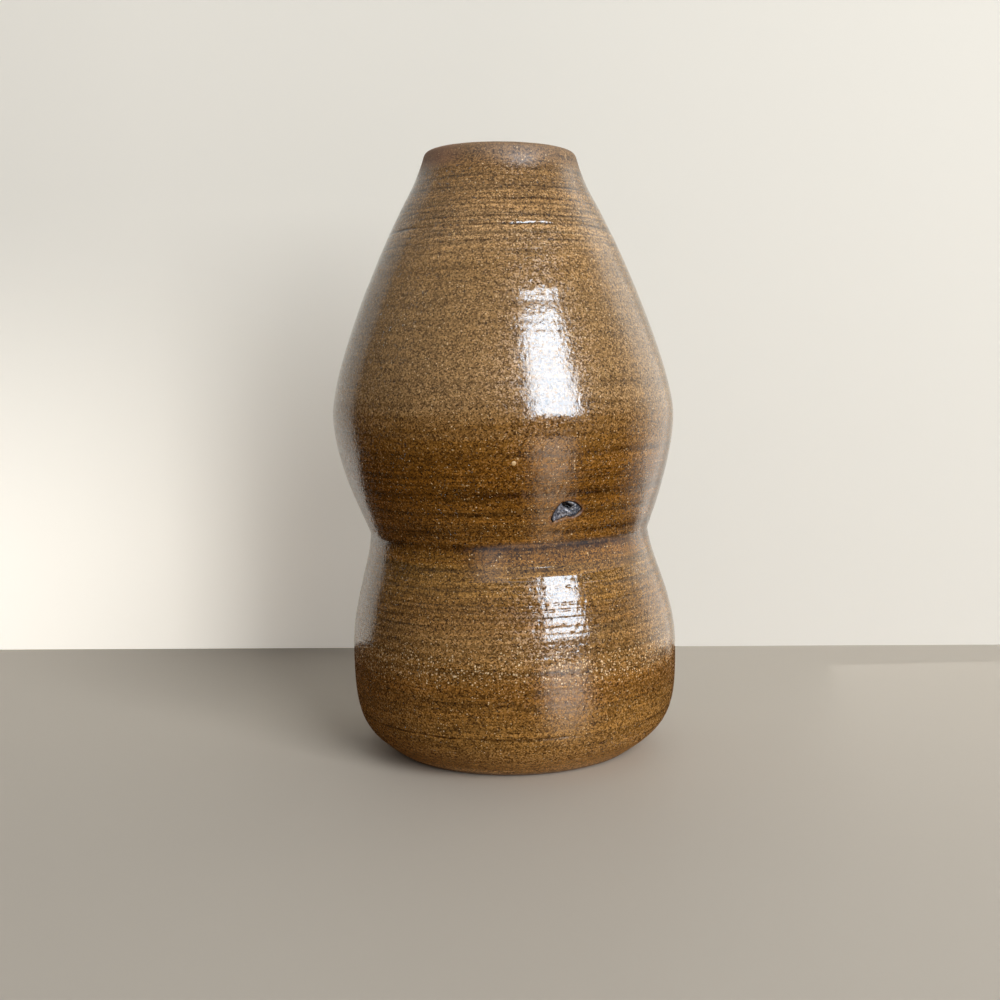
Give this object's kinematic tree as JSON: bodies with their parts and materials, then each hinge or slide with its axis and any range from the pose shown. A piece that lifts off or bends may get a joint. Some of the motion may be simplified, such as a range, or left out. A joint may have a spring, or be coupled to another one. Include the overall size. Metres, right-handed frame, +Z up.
{
  "type": "stoneware vase",
  "caption": "Wheel-thrown stoneware vase with a drawn-in waist, full belly and small mouth, under a glossy speckled brown glaze.",
  "frame": {"origin": "centre of the foot ring, on the table", "axes": "+Z up along the axis of turning, -Y towards the viewer, +X to the viewer's right"},
  "size_m": [0.1146, 0.1146, 0.2],
  "materials": {
    "fired_clay": "matte, toasted tan fired stoneware with fine grit",
    "brown_glaze": "glossy warm brown with fine umber and gold speckle, darker below the belly",
    "liner_glaze": "glossy brown, a little darker than outside",
    "iron_slag": "half-metallic blue-grey slag with a black blowhole",
    "pale_grains": "pale grains under a thin skin of glaze"
  },
  "bodies": {
    "root": {"clay_body": "fired_clay", "outer_glaze": "brown_glaze", "liner_glaze": "liner_glaze", "iron_slag": "iron_slag", "pale_grains": "pale_grains"}
  },
  "joints": []
}
